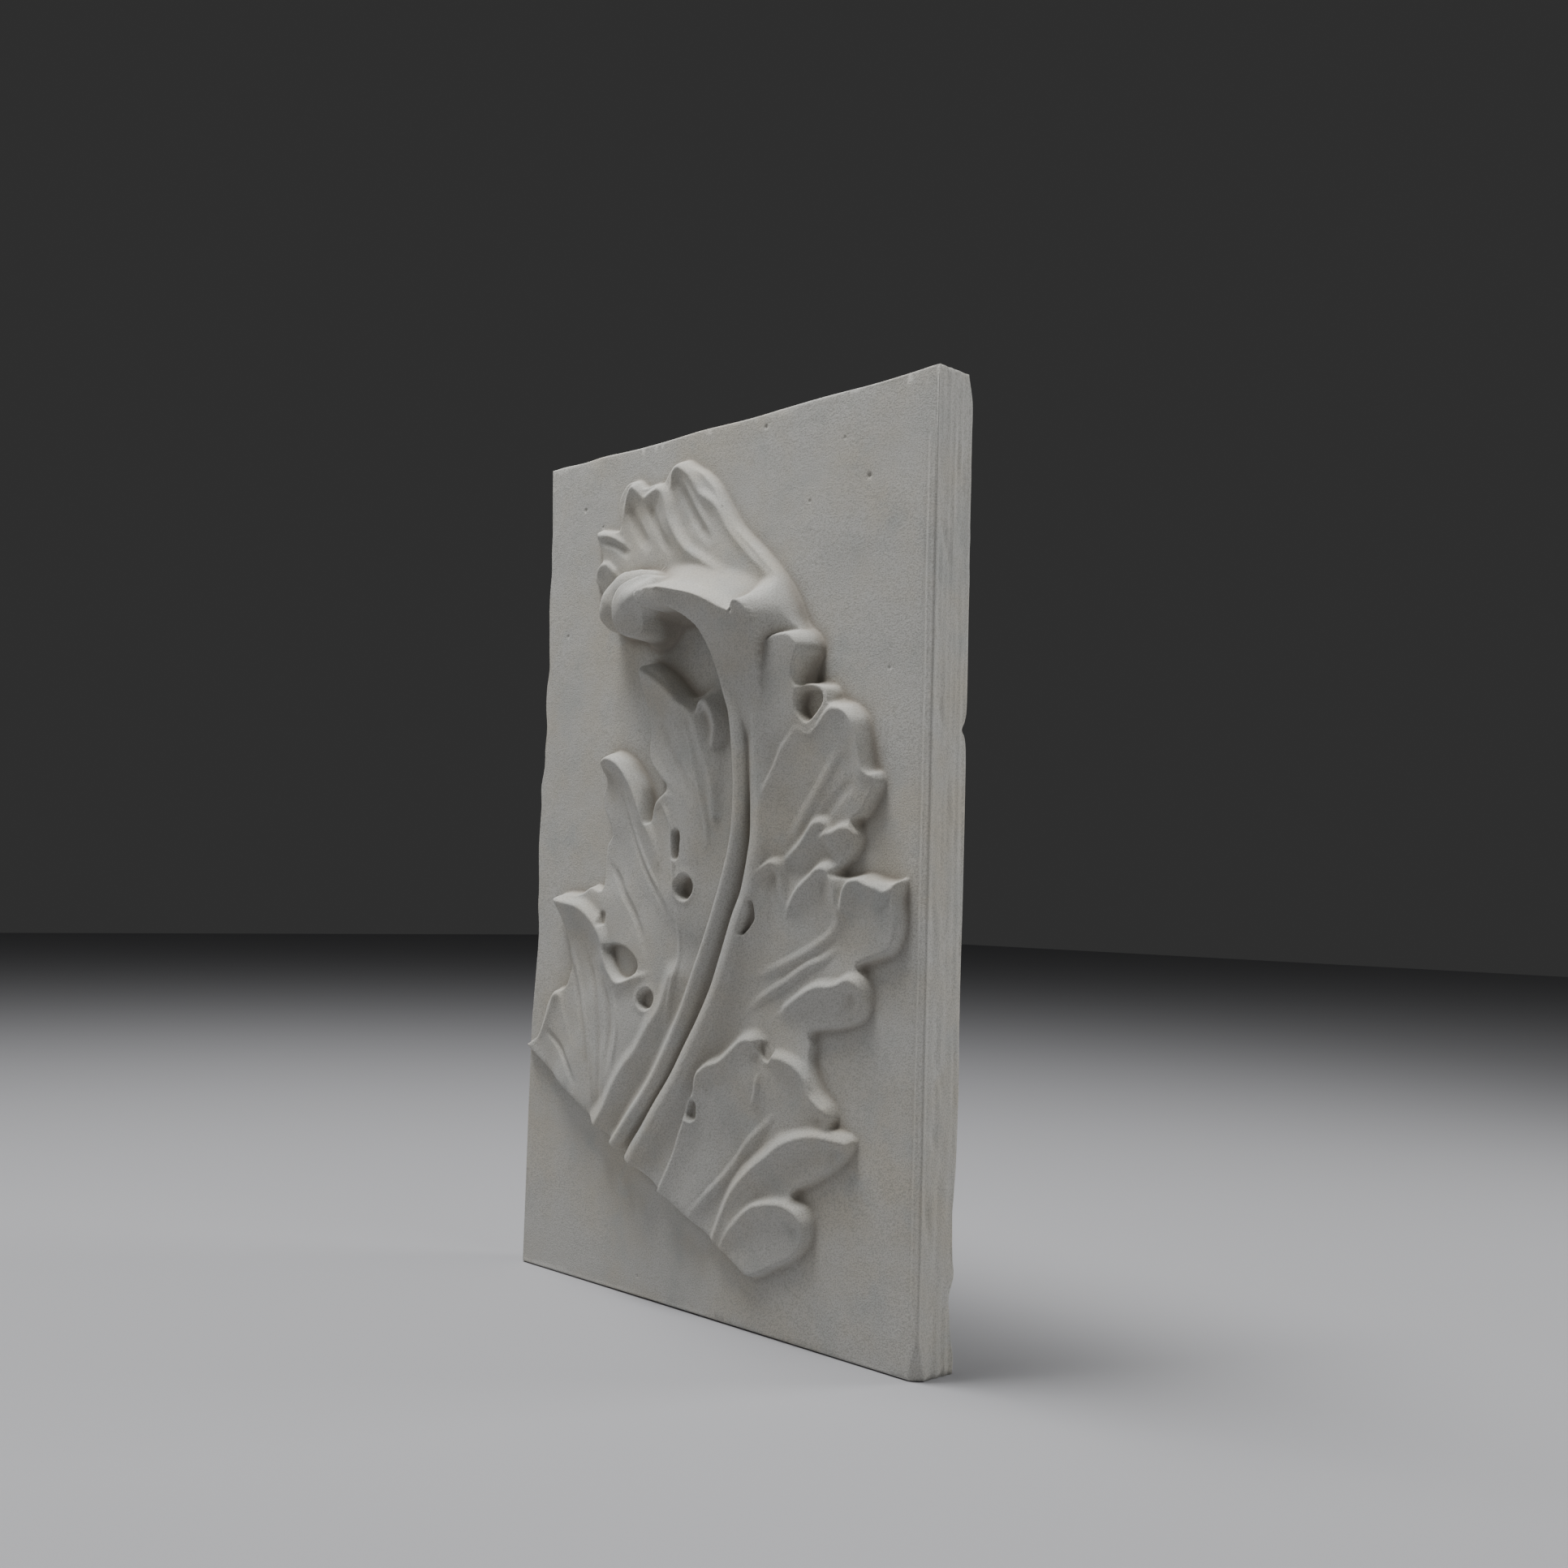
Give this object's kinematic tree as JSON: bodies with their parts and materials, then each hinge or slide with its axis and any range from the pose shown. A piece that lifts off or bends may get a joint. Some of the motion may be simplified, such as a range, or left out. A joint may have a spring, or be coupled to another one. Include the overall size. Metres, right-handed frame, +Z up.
{
  "type": "plaster bas-relief panel",
  "caption": "Upright rectangular plaster cast panel with half of an acanthus leaf in relief: a curved stem, a forward-curling tip, drilled eyes and furrowed leaflets, cut straight at the foot.",
  "frame": {"origin": "centre of the panel's flat back, where it lies on a wall", "axes": "+Z up along the panel's height, +X to the right as seen from the front, +Y into the wall; the relief faces -Y"},
  "size_m": [0.39, 0.0816, 0.6],
  "materials": {
    "plaster": "cast gypsum plaster, dry and matt, pale grey"
  },
  "bodies": {
    "root": {"relief_panel": "plaster"}
  },
  "joints": []
}
